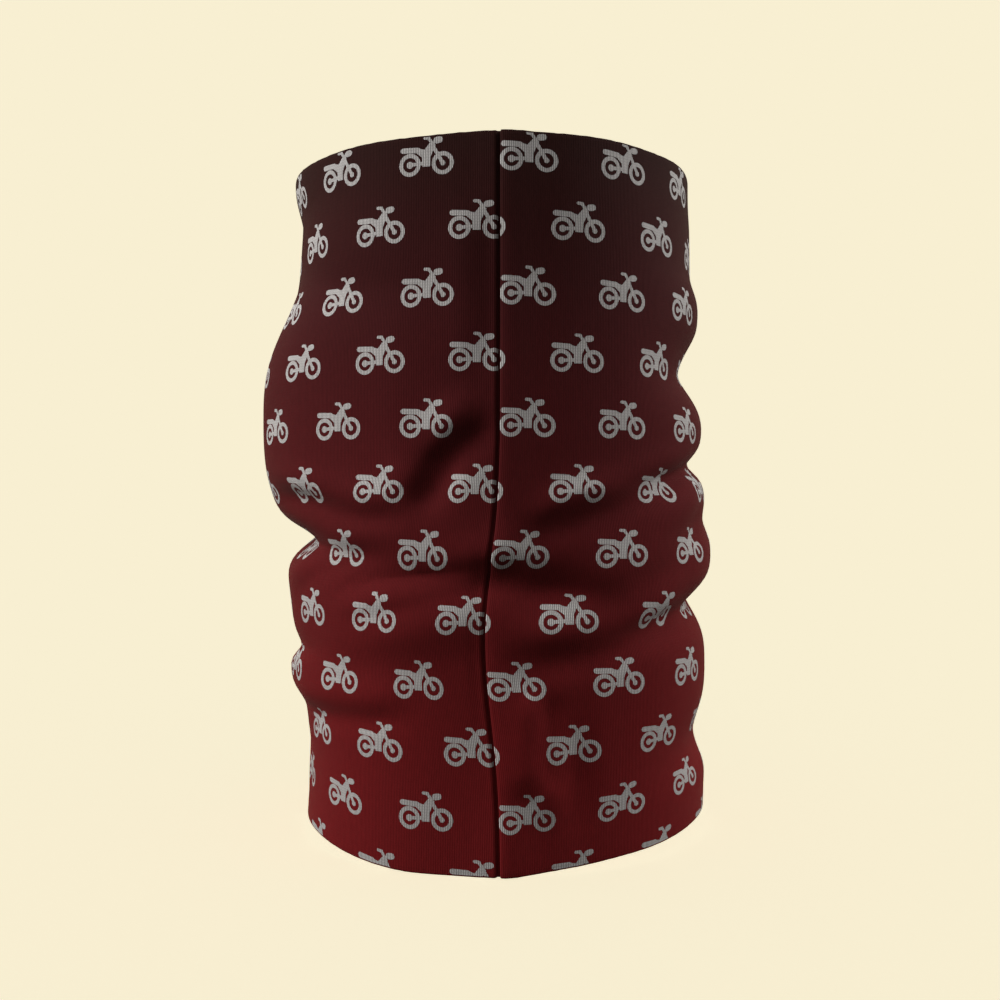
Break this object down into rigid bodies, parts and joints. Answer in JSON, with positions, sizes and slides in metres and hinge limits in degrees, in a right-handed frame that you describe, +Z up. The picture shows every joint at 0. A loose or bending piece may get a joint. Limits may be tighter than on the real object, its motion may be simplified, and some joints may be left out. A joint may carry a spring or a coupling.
{
  "type": "neck gaiter",
  "caption": "Knit neck tube, worn and slightly bunched, closed by one overlocked seam down the front.",
  "frame": {"origin": "centre of the bounding box's underside, inside the tube at the lower hem", "axes": "+Z up the tube from the lower hem to the upper hem, -Y out of the front, where the seam is, +X to the right seen from the front"},
  "size_m": [0.1819, 0.1651, 0.256],
  "materials": {
    "knit": "fine polyester jersey, dyed from near-black maroon at the top to crimson at the bottom, with a small pale grey all-over print outside and a white reverse",
    "sewing_thread": "textured dark maroon polyester overlock thread",
    "label_ribbon": "white satin ribbon, blank"
  },
  "bodies": {
    "root": {"knit_panel": "knit", "needle_thread": "sewing_thread", "upper_looper_thread": "sewing_thread", "lower_looper_thread": "sewing_thread", "fibre_label": "label_ribbon"}
  },
  "joints": []
}
